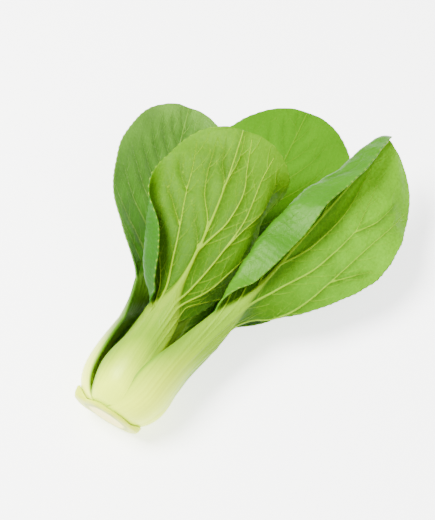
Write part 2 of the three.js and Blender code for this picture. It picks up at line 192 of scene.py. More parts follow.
def along(keys, s):
    """Smooth curve through [place, value] pairs, level beyond both ends."""
    place, value = np.array(keys, dtype=float).T
    secant = np.diff(value) / np.diff(place)
    slope = np.zeros(len(place))
    slope[0], slope[-1] = secant[0], secant[-1]
    for i in range(1, len(place) - 1):
        a, b = secant[i - 1], secant[i]
        slope[i] = 2 * a * b / (a + b) if a * b > 0 else 0.0
    s = np.clip(s, place[0], place[-1])
    i = np.clip(np.searchsorted(place, s, side="right") - 1, 0, len(place) - 2)
    h = place[i + 1] - place[i]
    t = (s - place[i]) / h
    return ((2 * t**3 - 3 * t**2 + 1) * value[i] + (t**3 - 2 * t**2 + t) * h * slope[i]
            + (3 * t**2 - 2 * t**3) * value[i + 1] + (t**3 - t**2) * h * slope[i + 1])


def unit(v):
    return v / np.linalg.norm(v, axis=-1, keepdims=True)


level = [[0, 0], [1, 0]]   # a curve that stays at zero


def spine(leaf, s):
    """Middle line of a leaf at each place s in mm: points, outward normals and directions across."""
    out, side = outward(leaf["turn"]), outward(leaf["turn"] + 90)

    def frames(places):
        lean, sway, roll = (np.radians(along(leaf.get(k, level), places))[:, None]
                            for k in ("lean", "sway", "roll"))
        ahead = (axis * np.cos(lean) + out * np.sin(lean)) * np.cos(sway) + side * np.sin(sway)
        flat = out * np.cos(lean) - axis * np.sin(lean)
        across = unit(np.cross(ahead, flat))
        return (ahead, flat * np.cos(roll) + across * np.sin(roll),
                across * np.cos(roll) - flat * np.sin(roll))

    whole = np.arange(0, math.ceil(leaf["length"]) + 1.0)
    start = cut_face + axis * leaf["rise"] + out * leaf["root"]
    steps = frames(whole[:-1] + 0.5)[0]
    points = np.vstack([start, start + np.cumsum(steps, 0)])
    at = np.stack([np.interp(s, whole, points[:, c]) for c in range(3)], 1)
    ahead, normal, across = frames(s)
    own = ease((s - 20) / 25)[:, None]   # the foot faces straight out from the head's axis
    return at, unit(out * (1 - own) + normal * own), across


def half_width(leaf, s):
    neck = leaf["stalk"][-1][1]
    share = np.clip((s - leaf["neck"]) / (leaf["length"] - leaf["neck"]), 0, 1)
    wide = leaf["widest"]
    rising = neck + (leaf["width"] - neck) * (1 - (1 - np.minimum(share / wide, 1)) ** 2) ** leaf["base"]
    closing = leaf["width"] * np.sqrt(1 - np.clip((share - wide) / (1 - wide), 0, 1) ** leaf["tip"])
    return np.where(share <= 0, along(leaf["stalk"], s), np.where(share < wide, rising, closing))


def vein_lines(leaf):
    """Main and fine veins, each as places along the leaf, mm from the midrib, half widths and slants."""
    neck, blade = leaf["neck"], leaf["length"] - leaf["neck"]
    rng = np.random.default_rng(leaf["seed"])
    main, fine = [], []
    step = 0.5   # mm between a line's points
    for keys, size in leaf["veins"]:
        places = [[neck + u * blade, v * leaf["width"]] for u, v in keys]
        s = np.arange(places[0][0], min(places[-1][0], leaf["length"] - 1), step)
        x = along(places, s)
        t = (s - s[0]) / (s[-1] - s[0])
        main.append((s, x, 0.75 * size * (1 - 0.6 * t), np.arctan(np.gradient(x, step))))
    midrib = (np.array([0.0, leaf["length"]]), np.zeros(2))
    for s, x, _, slant in main:
        # fine veins leave it on both sides, 4 to 8 mm apart, bend towards the tip and end at the next
        side, i = 1, int(rng.uniform(6, 14))
        while i < len(s) - 8:
            reach = rng.uniform(9, 17)
            places = s[i] + np.arange(0, reach, step)
            share = (places - s[i]) / reach
            turn = slant[i] + side * np.radians(rng.uniform(32, 42)) * (1 - 0.7 * share)
            turn = np.clip(turn, -0.8, 0.8)
            path = x[i] + np.cumsum(np.tan(turn)) * step
            free = len(places)
            for other in [midrib] + main:
                gap = path - np.interp(places, other[0], other[1], left=np.nan, right=np.nan)
                met = np.nonzero(gap[3:] * gap[3] < 0)[0]
                free = min(free, 4 + met[0]) if len(met) else free
            fine.append((places[:free], path[:free], 0.32 * (1 - 0.5 * share[:free]), turn[:free]))
            side, i = -side, i + int(rng.uniform(8, 16))
    return main, fine


def nearness(lines, s, flat):
    """Square of the distance from the nearest line, as a share of its half width, and that in mm."""
    share, away = np.full_like(flat, 90.0), np.full_like(flat, 90.0)
    for places, path, half, slant in lines:
        rows = np.nonzero((s >= places[0]) & (s <= places[-1]))[0]
        if len(rows):
            middle, wide, lean = (np.interp(s[rows], places, v)[:, None] for v in (path, half, slant))
            gap = np.abs(flat[rows] - middle) * np.cos(lean)
            share[rows] = np.minimum(share[rows], (gap / wide) ** 2)
            ended = ((s[rows] - places[0]) / (places[-1] - places[0]))[:, None] ** 5
            away[rows] = np.minimum(away[rows], gap + 4 * ended)   # a line's relief fades at its end
    return share, away


stalk_wall, blade_thickness = 1.3, 0.7   # mm, where no rib thickens them
tooth_gap = 3.5   # mm from tooth to tooth along a margin


def leaf_shape(leaf, step, columns):
    """Points of a leaf's outer and inner face in rows, and three numbers a point for each of its
    materials' three attributes."""
    neck = leaf["neck"]
    widest = neck + leaf["widest"] * (leaf["length"] - neck)
    body_rows = np.linspace(0, widest, int(widest / step) + 1)
    tip_turns = np.linspace(0, math.pi / 2, int((leaf["length"] - widest) / step * 1.35) + 1)[1:]
    s = np.concatenate([body_rows, widest + (leaf["length"] - 1 - widest) * np.sin(tip_turns)])
    at, normal, across = spine(leaf, s)
    share = np.clip((s - neck) / (leaf["length"] - neck), 0, 1)[:, None]
    in_blade = ease((s - neck + 12) / 30)[:, None]
    # the margin: small teeth, each with a pale point, and slow unevenness
    rng = np.random.default_rng(leaf["seed"])
    beat = s / tooth_gap + 0.25 * np.sin(s / 7.0 + rng.uniform(0, 6))
    tooth = 1 - np.abs(np.sin(math.pi * beat))
    ragged = ease((s - neck) / 15) * (0.4 * (1 - tooth) + 0.4 + 0.4 * wobble(s, 0 * s, leaf["seed"]))
    width = (half_width(leaf, s) - ragged)[:, None]
    # each half curls, and may fold, as it leaves the midrib
    k = (np.arange(columns) + 0.5) / columns
    halves = []
    for half, sign in ((leaf["left"], -1), (leaf["right"], 1)):
        cup = np.radians(along(half["cup"], s))[:, None]
        fold = np.radians(along(half.get("fold", level), s))[:, None]
        place = along(half.get("place", level), s)[:, None]
        own = width * along(half.get("kept", [[0, 1], [1, 1]]), s)[:, None]
        angle = cup * k + fold * ease((k - place) / leaf["fold_band"] + 0.5)
        x = np.cumsum(np.cos(angle), 1) / columns * own
        y = np.cumsum(np.sin(angle), 1) / columns * own
        flat = own * np.arange(1, columns + 1) / columns
        halves.append((sign * x, y, sign * flat, own - flat))
    zero = np.zeros_like(width)
    x, y, flat, to_margin = (np.hstack([halves[0][c][:, ::-1], zero + middle, halves[1][c]])
                             for c, middle in enumerate((0, 0, 0, width)))
    edge_share = np.abs(np.arange(-columns, columns + 1) / columns)[None]
    side = np.sign(np.arange(-columns, columns + 1))[None]
    wave = leaf["wave"] * ease((s - neck) / 30)[:, None] * (width / leaf["width"])
    ripple = wave * edge_share**2 * np.sin(2 * math.pi * s[:, None] / 35 + side
                                           + math.radians(leaf["turn"]))
    middle = at[:, None] + across[:, None] * x[..., None] + normal[:, None] * (ripple - y)[..., None]
    facing = unit(np.cross(np.gradient(middle, axis=1), np.gradient(middle, axis=0)))
    # stalk and midrib: a broad swelling, and in the blade a slim ridge on it
    neck_width = leaf["stalk"][-1][1]
    rib_width = np.where(share > 0, 1 + (neck_width - 1) * (1 - share) ** 2.2,
                         half_width(leaf, s)[:, None])
    slim = 0.3 + 0.7 * (1 - share) + (neck_width - 1) * (1 - share) ** 12
    slim = np.where(share > 0, slim, rib_width)
    thickness = leaf["stalk_thickness"] * np.where(
        share > 0, 0.62 * (1 - share) ** 1.8, 1 - 0.38 * ease(s / neck)[:, None])
    swelling = np.clip(1 - (flat / rib_width) ** 2, 0, 1) ** 0.8
    ridge = 0.35 * np.clip(1 - (flat / rib_width / 1.2) ** 2, 0, 1) ** 1.6 \
        + 0.65 * np.exp(-((flat / (0.9 * slim + 0.3)) ** 2))
    # side veins, the blade puffed up between them, and grooves along the stalk
    main, fine = vein_lines(leaf)
    main_share, main_away = nearness(main, s, flat)
    fine_share, fine_away = nearness(fine, s, flat)
    near_rib = np.maximum(np.abs(flat) - slim, 0)
    raised = ease((s[:, None] - neck + 35) / 45)
    vein = np.exp(-((main_away / 0.6) ** 2)) * raised
    puff = in_blade * ease(np.minimum(np.minimum(main_away, near_rib), 2.5 * fine_away + 2) / 4)
    puff = puff * np.clip(to_margin / 5, 0, 1)
    slow = in_blade * 0.5 * (1 + wobble(flat, s[:, None], leaf["seed"] + 1)) * ease(np.abs(flat) / 8)
    grooves = 0.2 * ease((s[:, None] - 16) / 40) * (1 - in_blade) * wobble(
        3.5 * flat, 0.1 * s[:, None] + 0 * flat, leaf["seed"] + 2)
    shift = -leaf["puff"] * puff - leaf["slow"] * slow
    sheet = stalk_wall + (blade_thickness - stalk_wall) * in_blade
    standing = 0.7 * in_blade   # the share of a rib that stands out of the outer face
    front = standing * ridge * thickness + shift + leaf["relief"] * vein + grooves
    back = (standing - 1) * swelling * thickness - sheet + shift + 0.25 * vein * in_blade
    outer = middle + facing * front[..., None]
    inner = middle + facing * back[..., None]
    lift = np.maximum(-np.minimum(outer[..., 2], inner[..., 2]), 0)   # the table presses it flat
    outer[..., 2] += lift
    inner[..., 2] += lift
    # what the skin reads: greenness, place along the leaf (raised at a stalk's edges for their green and
    # painted shade), pale teeth; veins; place on the flat leaf
    spread = np.abs(flat) / width
    between = ease(np.minimum(main_away, np.abs(flat)) / 3)
    green = ease((s[:, None] - neck + 18 * spread + 18 * between + 19) / 40)
    rim = 0.7 * np.exp(-((to_margin / 0.5) ** 2)) * (tooth**2)[:, None] * ease((s - neck) / 15)[:, None]
    along_leaf = np.where(s < neck, s / neck, 1 + (s - neck) / (leaf["length"] - neck))[:, None]
    # a stalk is greener and darker at its sides, most so along its thin margins: partly their own green,
    # partly painted shade where the stalks meet
    edge_green_and_shade = 0.25 * spread**2 + 0.35 * np.exp(-((to_margin / 1.1) ** 2))
    edge_green_and_shade = edge_green_and_shade * ease((neck - s[:, None]) / 20)
    look = np.stack([green, along_leaf + edge_green_and_shade, rim], -1)
    veins = np.stack([np.minimum(main_share, (flat / (0.85 * slim)) ** 2), fine_share,
                      np.minimum(main_away, near_rib)], -1)
    place = np.stack([flat, s[:, None] + 0 * flat, 0 * flat + 40.0 * leaf["seed"]], -1)
    return outer, inner, np.minimum(look, 9), np.minimum(veins, 9), place


def shell_faces(rows, columns):
    """Faces of a closed shell of two grids, the second one inside, and how many lie on the first."""
    grid = np.arange(rows * columns).reshape(rows, columns)
    a, b, c, d = grid[:-1, :-1], grid[:-1, 1:], grid[1:, 1:], grid[1:, :-1]
    outer = np.stack([a, b, c, d], -1).reshape(-1, 4)
    inner = outer[:, ::-1] + rows * columns
    rim = np.concatenate([grid[0], grid[1:, -1], grid[-1, -2::-1], grid[-2:0:-1, 0]])
    after = np.roll(rim, -1)
    n = rows * columns
    edge = np.stack([after, rim, rim + n, after + n], -1)
    return np.vstack([outer, inner, edge]), len(outer)


def grow_leaf(name, leaf, outer_skin, inner_skin):
    outer, inner, look, veins, place = leaf_shape(leaf, leaf["step"], leaf["columns"])
    faces, outer_count = shell_faces(*outer.shape[:2])
    points = np.concatenate([outer.reshape(-1, 3), inner.reshape(-1, 3)])
    piece = add_mesh(name, points, faces.tolist())
    for layer, values in (("look", look), ("veins", veins), ("flat", place)):
        mark(piece, layer, np.tile(values.reshape(-1, 3), (2, 1)))
    piece.data.materials.append(outer_skin)
    piece.data.materials.append(inner_skin)
    skins = np.ones(len(faces), dtype=np.int32)
    skins[:outer_count] = 0
    piece.data.polygons.foreach_set("material_index", skins)
    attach(piece, "root")
    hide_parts(name)
    return piece


def leaf_skin(name, tones, roughness, gloss, relief):
    """Waxy living leaf: grown, not finished, so its colour drifts and its veins stay paler than it."""
    skin = new_material(name)
    look = add_node(skin, "SeparateXYZ", {0: add_node(
        skin, "Attribute", attribute_name="look").outputs["Vector"]})
    veins = add_node(skin, "SeparateXYZ", {0: add_node(
        skin, "Attribute", attribute_name="veins").outputs["Vector"]})
    flat = add_node(skin, "Attribute", attribute_name="flat").outputs["Vector"]
    # stalk and blade each change colour along their length, and a stalk's edges take its greener tones,
    # partly as painted shade
    half = add_node(skin, "Math", {0: look.outputs["Y"], 1: 0.5}, operation="MULTIPLY").outputs[0]
    stalk = add_node(skin, "ValToRGB", {0: half}, stops=(
        (0.12, tones["foot"]), (0.25, tones["stalk"]), (0.37, tones["upper"]),
        (0.52, tones["neck"]))).outputs[0]
    blade = add_node(skin, "ValToRGB", {0: half}, stops=(
        (0.5, tones["low"]), (0.66, tones["blade"]), (1.0, tones["tip"]))).outputs[0]
    # the green drifts over about 25 mm and is mottled over 2 mm
    drift = add_node(skin, "TexNoise", {"Vector": flat, "Scale": 0.04, "Detail": 2}).outputs["Fac"]
    mottle = add_node(skin, "TexNoise", {"Vector": flat, "Scale": 0.6, "Detail": 4}).outputs["Fac"]
    amount = add_node(skin, "MapRange", {0: drift, 1: 0.35, 2: 0.75, 3: 0.0, 4: 0.45}).outputs[0]
    speck = add_node(skin, "MapRange", {0: mottle, 1: 0.4, 2: 0.75, 3: 0.0, 4: 0.25}).outputs[0]
    shade = add_node(skin, "Math", {0: amount, 1: speck}, operation="ADD").outputs[0]
    # and painted shade darkens the blade beside the main veins
    vein_hollow_shade = add_node(skin, "MapRange",
                      {0: veins.outputs["Z"], 1: 0.8, 2: 3.6, 3: 0.38, 4: 0.0}).outputs[0]
    shade = add_node(skin, "Math", {0: shade, 1: vein_hollow_shade}, operation="ADD").outputs[0]
    blade = add_node(skin, "Mix", {0: shade, 6: blade, 7: hexa(tones["shade"])},
                     data_type="RGBA").outputs[2]
    # the finest veins: a faint net of meshes about 4 mm wide
    bent = add_node(skin, "TexNoise", {"Vector": flat, "Scale": 0.25, "Detail": 2}).outputs["Color"]
    warped = add_node(skin, "VectorMath", {0: bent, 1: (5.0, 5.0, 0.0), 2: flat},
                      operation="MULTIPLY_ADD").outputs[0]
    squeezed = add_node(skin, "VectorMath", {0: warped, 1: (0.3, 0.22, 0.0)},
                        operation="MULTIPLY").outputs[0]
    net = add_node(skin, "TexVoronoi", {"Vector": squeezed, "Scale": 1.0},
                   feature="DISTANCE_TO_EDGE", voronoi_dimensions="2D").outputs["Distance"]
    thread = add_node(skin, "MapRange", {0: net, 1: 0.0, 2: 0.1, 3: 1.0, 4: 0.0}).outputs[0]
    # main and fine veins, soft at their sides
    main = add_node(skin, "MapRange", {0: veins.outputs["X"], 1: 0.4, 2: 2.4, 3: 1.0, 4: 0.0},
                    interpolation_type="SMOOTHSTEP").outputs[0]
    fine = add_node(skin, "MapRange", {0: veins.outputs["Y"], 1: 0.2, 2: 2.4, 3: 1.0, 4: 0.0},
                    interpolation_type="SMOOTHSTEP").outputs[0]
    thread_tint = add_node(skin, "Math", {0: thread, 1: tones["net"]}, operation="MULTIPLY").outputs[0]
    tint = add_node(skin, "Math", {0: fine, 1: 0.28, 2: thread_tint}, operation="MULTIPLY_ADD").outputs[0]
    strong = add_node(skin, "Math", {0: main, 1: tones["strong"]}, operation="MULTIPLY").outputs[0]
    tint = add_node(skin, "Math", {0: tint, 1: strong}, operation="MAXIMUM").outputs[0]
    blade = add_node(skin, "Mix", {0: tint, 6: blade, 7: hexa(tones["vein"])},
                     data_type="RGBA").outputs[2]
    # the points of the margin's teeth are paler
    blade = add_node(skin, "Mix", {0: look.outputs["Z"], 6: blade, 7: hexa("#90b430")},
                     data_type="RGBA").outputs[2]
    # streaks of the stalk, greener in between, more so towards its neck
    long_way = add_node(skin, "VectorMath", {0: flat, 1: (0.75, 0.012, 0.3)},
                        operation="MULTIPLY").outputs[0]
    strand = add_node(skin, "TexNoise", {"Vector": long_way, "Scale": 1.0, "Detail": 3}).outputs["Fac"]
    streak = add_node(skin, "MapRange", {0: strand, 1: 0.42, 2: 0.68, 3: 0.0, 4: 0.8}).outputs[0]
    streak = add_node(skin, "Math", {0: streak, 1: half}, operation="MULTIPLY").outputs[0]
    stalk = add_node(skin, "Mix", {0: streak, 6: stalk, 7: hexa(tones["low"])},
                     data_type="RGBA").outputs[2]
    base = add_node(skin, "Mix", {0: look.outputs["X"], 6: stalk, 7: blade}, data_type="RGBA").outputs[2]
    # relief of the veins in the blade and of the strands in the stalk, under a sheen that is tinted
    # so that it doesn't whiten the green
    ridges = add_node(skin, "Math", {0: thread, 1: 0.25, 2: main}, operation="MULTIPLY_ADD").outputs[0]
    ridges = add_node(skin, "Math", {0: fine, 1: 0.5, 2: ridges}, operation="MULTIPLY_ADD").outputs[0]
    ridges = add_node(skin, "Math", {0: ridges, 1: look.outputs["X"]}, operation="MULTIPLY").outputs[0]
    pores = add_node(skin, "Math", {0: mottle, 1: 0.35, 2: strand}, operation="MULTIPLY_ADD").outputs[0]
    height = add_node(skin, "Math", {0: ridges, 1: relief, 2: pores}, operation="MULTIPLY_ADD").outputs[0]
    bump = add_node(skin, "Bump", {"Height": height, "Distance": 0.0003, "Strength": 0.7}).outputs[0]
    dull = add_node(skin, "MapRange", {0: look.outputs["X"], 3: 0.3, 4: roughness}).outputs[0]
    shine = add_node(skin, "MapRange", {0: look.outputs["X"], 3: 0.22, 4: gloss}).outputs[0]
    surface = add_node(skin, "BsdfPrincipled", {
        "Base Color": base, "Roughness": dull, "Specular IOR Level": shine,
        "Specular Tint": (0.8, 1.0, 0.5, 1.0), "Normal": bump})
    through = add_node(skin, "BsdfTranslucent", {"Color": base, "Normal": bump})
    thin = add_node(skin, "Math", {0: look.outputs["X"], 1: tones["glow"]}, operation="MULTIPLY")
    both = add_node(skin, "MixShader", {0: thin.outputs[0], 1: surface.outputs[0], 2: through.outputs[0]})
    add_node(skin, "OutputMaterial", {"Surface": both.outputs[0]})
    return skin


# A leaf's numbers, in mm and degrees. turn is its side of the head, rise and root place its foot, and neck
# is where its blade begins. widest, base and tip shape the blade's outline. The curves give a value at
# places along the leaf: half the stalk's width, the lean outwards, the sway sideways and the roll, and for
# each half its curl (cup), its fold with the fold's place across it, and the share of its width kept.
# wave, puff, slow and relief are heights: of the margin's waves, the blade's puffs, its slow swells and
# its veins. fold_band is the share of a half that a fold's bend takes, and step and columns set the mesh.
leaf_right = {
    "turn": 58, "rise": 2.6, "root": 13.8, "length": 212, "neck": 74, "width": 46, "widest": 0.62,
    "base": 1.35, "tip": 3.2, "stalk_thickness": 5.5, "wave": 0.9, "fold_band": 0.3, "seed": 11,
    "stalk": [[0, 13.5], [24, 17.5], [50, 11.5], [74, 7.5]],
    "lean": [[0, 66], [12, 28], [26, 3], [50, 8], [86, 10], [130, 10], [212, -2]],
    "sway": [[0, 0], [50, 7], [80, 9], [120, 4], [165, 7], [212, 16]],
    "roll": [[40, 0], [105, -42], [212, -38]],
    "left": {
        "cup": [[0, 58], [24, 50], [60, 35], [100, 14]],
        "kept": [[74, 1], [90, 1.2], [112, 1.06], [132, 0.88], [150, 0.77], [185, 0.51], [212, 0.46]],
        "fold": [[68, 0], [88, -135], [100, -172], [132, -172], [160, -150], [212, -140]],
        "place": [[74, 0.72], [90, 0.58], [112, 0.5], [132, 0.48], [150, 0.47], [185, 0.37], [212, 0.38]],
    },
    "right": {
        "cup": [[0, 58], [24, 50], [60, 35], [82, 62], [108, 14], [155, 8], [185, 30], [212, 40]],
        "kept": [[150, 1], [185, 0.92], [212, 0.9]],
    },
    # veins: places as shares of the blade's length and of half its width, and half a vein's width in mm
    "veins": [
        ([[-0.3, -0.05], [0, -0.1], [0.2, -0.3], [0.5, -0.55]], 0.7),
        ([[-0.2, -0.02], [0.05, -0.04], [0.3, -0.26], [0.7, -0.5]], 0.7),
        ([[0.18, -0.01], [0.4, -0.22], [0.85, -0.4]], 0.6),
        ([[0.36, 0], [0.6, -0.2], [0.92, -0.24]], 0.5),
        ([[0.55, 0], [0.75, -0.13], [0.95, -0.14]], 0.4),
        ([[-0.35, 0.1], [0.01, 0.14], [0.16, 0.42], [0.29, 0.53], [0.39, 0.57], [0.58, 0.63],
          [0.85, 0.77]], 0.8),
        ([[0.39, 0.57], [0.56, 0.89]], 0.45),
        ([[-0.2, 0.03], [0.08, 0.05], [0.23, 0.17], [0.41, 0.35], [0.6, 0.4], [0.69, 0.34],
          [0.82, 0.24]], 0.85),
        ([[0.6, 0.4], [0.71, 0.53], [0.85, 0.57]], 0.5),
        ([[0.3, 0], [0.46, 0.15], [0.6, 0.18], [0.79, 0.09], [0.9, 0.02]], 0.65),
        ([[-0.3, 0.12], [0, 0.26], [0.12, 0.6], [0.3, 0.9]], 0.5),
    ],
    "puff": 0.55, "slow": 0.9, "relief": 0.45, "step": 0.75, "columns": 66,
}
# its low tone is painted darker, as shade on the lower blade where it curves down, and its tip tone
# lighter, as painted light on the curled tip
right_outer = leaf_skin("waxy_leaf_underside_right", {
    "foot": "#e4fa28", "stalk": "#afcd0a", "upper": "#82aa00", "neck": "#608d00", "low": "#253f02",
    "blade": "#558f06", "tip": "#83cd07", "shade": "#356204", "vein": "#89b515",
    "glow": 0.25, "net": 0.1, "strong": 0.8,
}, 0.5, 0.12, 1.0)
shaded_stalk = {"foot": "#d8f21c", "stalk": "#9abc02", "upper": "#789c00", "neck": "#648a00"}
right_inner = leaf_skin("waxy_leaf_upperside_right", {
    **shaded_stalk, "low": "#508a0a",
    "blade": "#3d790d", "tip": "#458013", "shade": "#2c5e07", "vein": "#4b7c1a",
    "glow": 0.25, "net": 0.06, "strong": 0.6,
}, 0.42, 0.22, 0.8)
grow_leaf("leaf_right", leaf_right, right_outer, right_inner)

# Left outer leaf: its stalk stands on edge, so the channel of its inner side shows, and its blade
# turns its darker upper side up.

# one half's veins, which the other half mirrors, set off a little along the midrib
half_veins = (
    ([[-0.3, 0.14], [0, 0.2], [0.08, 0.42], [0.16, 0.74]], 0.5),
    ([[-0.2, 0.08], [0.02, 0.11], [0.1, 0.32], [0.2, 0.62], [0.3, 0.9]], 0.65),
    ([[0.08, 0], [0.15, 0.24], [0.28, 0.62], [0.42, 0.92]], 0.75),
    ([[0.19, 0], [0.26, 0.22], [0.4, 0.58], [0.55, 0.88]], 0.7),
    ([[0.3, 0], [0.37, 0.2], [0.52, 0.54], [0.67, 0.8]], 0.7),
    ([[0.41, 0], [0.48, 0.2], [0.62, 0.48], [0.76, 0.68]], 0.6),
    ([[0.52, 0], [0.59, 0.18], [0.72, 0.42], [0.84, 0.55]], 0.55),
    ([[0.63, 0], [0.7, 0.16], [0.82, 0.34], [0.91, 0.4]], 0.5),
    ([[0.74, 0], [0.81, 0.14], [0.93, 0.26]], 0.4), ([[0.85, 0], [0.91, 0.08], [0.97, 0.12]], 0.35),
)
even_veins = [([[u + 0.02 * side, side * v] for u, v in keys], size)
              for side in (-1, 1) for keys, size in half_veins]
leaf_left = {
    "turn": -84, "rise": 2.6, "root": 13.8, "length": 185, "neck": 72, "width": 35.5, "widest": 0.56,
    "base": 1, "tip": 2, "stalk_thickness": 5.2, "wave": 1, "fold_band": 0.3, "seed": 12,
    "stalk": [[0, 13], [24, 17], [50, 11.5], [72, 8.5]],
    "lean": [[0, 64], [12, 26], [26, 0], [45, -7], [72, 2], [105, 21.5], [185, 18]],
    "sway": [[0, 0], [60, -2], [90, -6], [185, -8]],
    "roll": [[50, 0], [90, -60], [185, -75]],
    "left": {"cup": [[0, 56], [24, 48], [60, 35], [90, 15], [185, 13]]},
    "right": {"cup": [[0, 56], [24, 48], [60, 35], [90, 15], [185, 13]]},
    "veins": even_veins, "puff": 0.25, "slow": 0.8, "relief": 0.3, "step": 0.75, "columns": 52,
}
left_outer = leaf_skin("waxy_leaf_underside_left", {
    "foot": "#f2fc50", "stalk": "#d0e430", "upper": "#98b410", "neck": "#6c9404", "low": "#385f03",
    "blade": "#45710a", "tip": "#4b790a", "shade": "#305703", "vein": "#5f8012",
    "glow": 0.25, "net": 0.1, "strong": 0.8,
}, 0.5, 0.2, 1.0)
# its tip tone is paler and greyer: partly the leaf's own colour, partly a painted sheen on the upper blade
# that faces the light
left_inner = leaf_skin("waxy_leaf_upperside_left", {
    "foot": "#d4ec2c", "stalk": "#9ab80c", "upper": "#6c9404", "neck": "#568604", "low": "#39820a",
    "blade": "#3b7215", "tip": "#679632", "shade": "#305d0a", "vein": "#659027",
    "glow": 0.25, "net": 0.08, "strong": 0.8,
}, 0.42, 0.5, 1.0)
grow_leaf("leaf_left", leaf_left, left_outer, left_inner)

# Lowest leaf: the largest one, which the head lies on. Its stalk carries the bulb and its blade is
# pressed flat on the table, upper side up.

leaf_under = {
    "turn": 160, "rise": 2.6, "root": 13.8, "length": 225.9, "neck": 84, "width": 46.5, "widest": 0.56,
    "base": 1, "tip": 2, "stalk_thickness": 5.5, "wave": 0.8, "fold_band": 0.3, "seed": 13,
    "stalk": [[0, 14], [24, 18], [50, 12], [84, 8.5]],
    "lean": [[0, 66], [12, 28], [26, 0], [48, -2], [84, 4], [120, 10], [226, 9]],
    "sway": [[0, 0], [60, 2], [100, 7], [226, 12]],
    "roll": [[60, 0], [120, 19]],
    "left": {"cup": [[0, 58], [24, 50], [60, 35], [90, 10], [226, 8]]},
    "right": {"cup": [[0, 58], [24, 50], [60, 35], [90, 10], [226, 8]]},
    "veins": even_veins, "puff": 0.6, "slow": 0.3, "relief": 0.3, "step": 0.8, "columns": 60,
}
under_outer = leaf_skin("waxy_leaf_underside_low", {
    **shaded_stalk, "low": "#385f03",
    "blade": "#45710a", "tip": "#4b790a", "shade": "#305703", "vein": "#5f8012",
    "glow": 0.25, "net": 0.1, "strong": 0.8,
}, 0.5, 0.2, 1.0)
under_inner = leaf_skin("waxy_leaf_upperside_low", {
    **shaded_stalk, "low": "#447303",
    "blade": "#4b8503", "tip": "#4e8903", "shade": "#3a7003", "vein": "#65940d",
    "glow": 0.3, "net": 0.08, "strong": 0.8,
}, 0.45, 0.12, 1.0)
grow_leaf("leaf_under", leaf_under, under_outer, under_inner)

# Top leaf: its broad stalk fills the front of the bulb and its blade spreads over the others,
# underside up, with one margin curled over and the other creased down.

leaf_top = {
    "turn": 6, "rise": 3, "root": 13.8, "length": 165, "neck": 60, "width": 40, "widest": 0.58,
    "base": 1, "tip": 2.2, "stalk_thickness": 5, "wave": 0.8, "fold_band": 0.3, "seed": 14,
    "stalk": [[0, 12], [22, 16], [42, 12], [60, 9.5]],
    "lean": [[0, 62], [11, 24], [24, 0], [45, -10], [60, -5], [110, 14], [165, 26]],
    "sway": [[50, 0], [100, -5], [165, -12]],
    "left": {
        "cup": [[0, 50], [24, 46], [60, 45], [90, 25], [165, 15]],
        "kept": [[60, 1], [74, 1.4], [92, 1.28], [118, 1.04], [140, 1]],
        "fold": [[54, 0], [68, -165], [100, -165], [122, -80], [140, 0]],
        "place": [[0, 0.74], [74, 0.63], [92, 0.67], [118, 0.84], [140, 0.92]],
    },
    "right": {
        "cup": [[0, 50], [24, 46], [60, 40], [110, 20]],
        "fold": [[56, 0], [78, 32], [105, 55], [124, 80], [152, 10], [165, 0]],
        "place": [[0, 0.5], [165, 0.62]],
    },
    "veins": [
        ([[-0.35, -0.1], [0, -0.12], [0.1, -0.14], [0.26, -0.25], [0.43, -0.36], [0.59, -0.46],
          [0.74, -0.51], [0.87, -0.58]], 0.9),
        ([[0.43, -0.36], [0.52, -0.56], [0.61, -0.75], [0.67, -0.84]], 0.5),
        ([[-0.35, -0.16], [0, -0.17], [0.08, -0.21], [0.33, -0.55], [0.47, -0.7], [0.58, -0.86]], 0.6),
        ([[0.3, 0], [0.37, -0.03], [0.52, -0.26], [0.62, -0.35]], 0.45),
        ([[0.42, 0], [0.49, -0.03], [0.64, -0.23], [0.75, -0.29], [0.92, -0.31]], 0.6),
        ([[0.66, 0], [0.72, -0.03], [0.81, -0.14], [0.95, -0.21]], 0.4),
        ([[0.34, 0], [0.4, 0.05], [0.55, 0.21], [0.69, 0.26], [0.83, 0.19], [0.96, 0.14]], 0.7),
        ([[-0.3, 0.05], [0.05, 0.07], [0.15, 0.14], [0.4, 0.3], [0.61, 0.41], [0.76, 0.42],
          [0.91, 0.49]], 0.85),
        ([[-0.35, 0.1], [0.03, 0.12], [0.21, 0.38], [0.33, 0.52], [0.52, 0.8], [0.74, 0.93]], 0.8),
        ([[-0.3, 0.17], [0.06, 0.21], [0.21, 0.66]], 0.5), ([[0.72, 0], [0.87, 0.06], [0.97, 0.04]], 0.4),
        ([[0.4, 0.3], [0.52, 0.42], [0.68, 0.62], [0.82, 0.68]], 0.45),
        ([[0.61, -0.46], [0.7, -0.66], [0.8, -0.76]], 0.35),
    ],
    "puff": 0.4, "slow": 0.6, "relief": 0.5, "step": 0.65, "columns": 62,
}
top_outer = leaf_skin("waxy_leaf_underside_top", {
    "foot": "#dcf424", "stalk": "#9ebd04", "upper": "#6d9300", "neck": "#548100", "low": "#346201",
    "blade": "#407001", "tip": "#598a03", "shade": "#325802", "vein": "#8bb00b",
    "glow": 0.25, "net": 0.1, "strong": 0.85,
}, 0.5, 0.12, 1.2)
top_inner = leaf_skin("waxy_leaf_upperside_top", {
    **shaded_stalk, "low": "#265d08",
    "blade": "#2d670a", "tip": "#2d670a", "shade": "#1d4609", "vein": "#45701f",
    "glow": 0.25, "net": 0.06, "strong": 0.6,
}, 0.45, 0.12, 1.0)
grow_leaf("leaf_top", leaf_top, top_outer, top_inner)

# Lower side leaves: two shorter leaves under the left and right ones, which close the bulb below.
# They grow from the stem like the others, stalk and blade in one piece.

